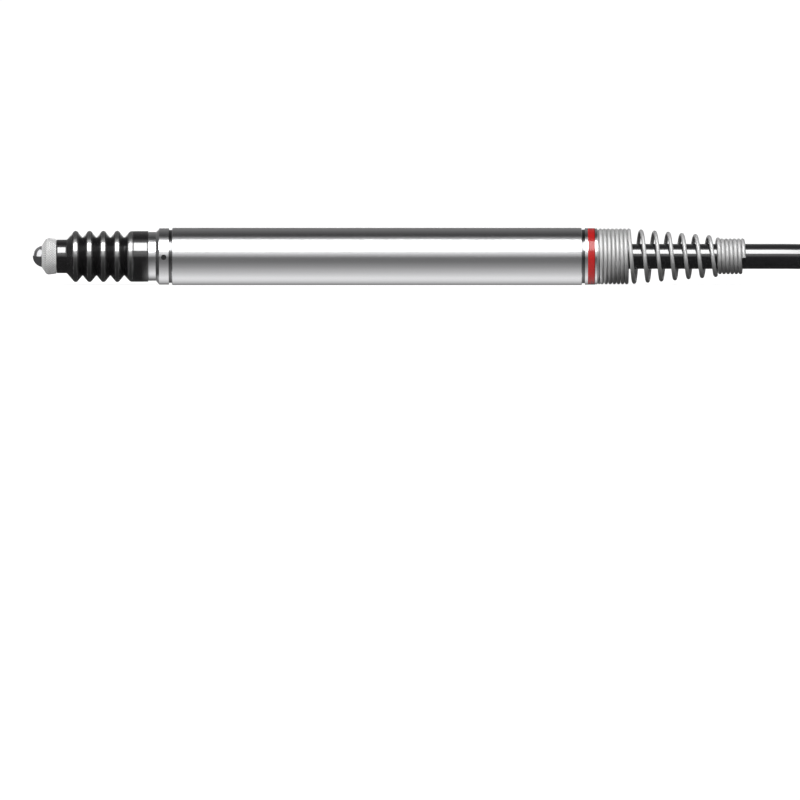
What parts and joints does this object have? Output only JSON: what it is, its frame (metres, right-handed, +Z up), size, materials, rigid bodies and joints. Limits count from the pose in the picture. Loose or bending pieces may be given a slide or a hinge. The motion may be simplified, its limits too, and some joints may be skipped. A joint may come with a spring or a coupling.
{
  "type": "linear gauge probe",
  "caption": "Slim cylindrical inductive gauge probe with a sprung ball tip, rubber bellows, red rear ring, strain-relief spring and a cable with a round plug.",
  "frame": {"origin": "on the probe's axis, at the front end face of the 8 mm body tube", "axes": "+X along the axis from the contact ball towards the cable; +Z up, away from the surface that the probe lies on"},
  "size_m": [0.2089, 0.0373, 0.0185],
  "materials": {
    "ground_steel": "ground and polished, bright",
    "turned_steel": "fine turned, bright",
    "knurled_steel": "frosted, finely knurled",
    "ball_steel": "polished ball",
    "spring_steel": "drawn wire, grey",
    "black_rubber": "smooth black rubber with a soft sheen",
    "red_plastic": "glossy red",
    "cage_brass": "turned brass",
    "copper_winding": "enamelled copper wire, close wound",
    "magnetic_alloy": "annealed, dull grey",
    "bobbin_plastic": "black moulded",
    "board_laminate": "green laminate",
    "lead_insulation": "light insulation",
    "tinned_copper": "tinned",
    "cable_jacket": "black jacket with a soft sheen",
    "plug_nickel": "nickel plated",
    "contact_gold": "gold plated",
    "insert_plastic": "black moulded",
    "tie_fabric": "black woven strap"
  },
  "bodies": {
    "housing": {"body_tube": "ground_steel", "gaiter": "black_rubber", "nose_bush": "turned_steel", "bearing_race": "ground_steel", "guide_sleeve": "turned_steel", "return_spring": "spring_steel", "spring_seat": "turned_steel", "coil_bobbin": "bobbin_plastic", "front_secondary": "copper_winding", "primary_winding": "copper_winding", "rear_secondary": "copper_winding", "magnetic_shield": "magnetic_alloy", "terminal_board": "board_laminate", "terminal_pins": "tinned_copper", "lead_wires": "lead_insulation", "rear_plug": "turned_steel", "rear_seal": "black_rubber", "red_ring": "red_plastic", "spring_holder": "turned_steel", "cable_seal": "black_rubber", "cable_ferrule": "tinned_copper", "strain_relief_spring": "spring_steel", "cable": "cable_jacket", "cable_tail": "cable_jacket", "cable_hank": "cable_jacket", "hank_tie": "tie_fabric", "plug_nose": "plug_nickel", "plug_insert": "insert_plastic", "plug_pins": "contact_gold", "plug_grip": "plug_nickel", "plug_boot": "black_rubber"},
    "spindle": {"plunger": "ground_steel", "contact_ball": "ball_steel", "tip_holder": "knurled_steel", "guide_pin": "ground_steel", "core_rod": "turned_steel", "core": "magnetic_alloy"},
    "cage": {"ball_cage": "cage_brass", "bearing_balls": "ball_steel"}
  },
  "joints": [
    {"name": "plunger_slide", "type": "slide", "parent": "housing", "child": "spindle", "axis": [1, 0, 0], "range_m": [0, 0.003], "stiffness_N_per_m": 60, "springref_m": -0.01, "deforming": ["gaiter", "return_spring"]},
    {"name": "cage_slide", "type": "slide", "parent": "housing", "child": "cage", "axis": [1, 0, 0], "range_m": [0, 0.0015]}
  ],
  "couplings": [
    {"joint": "cage_slide", "follows": "plunger_slide", "ratio": 0.5}
  ]
}
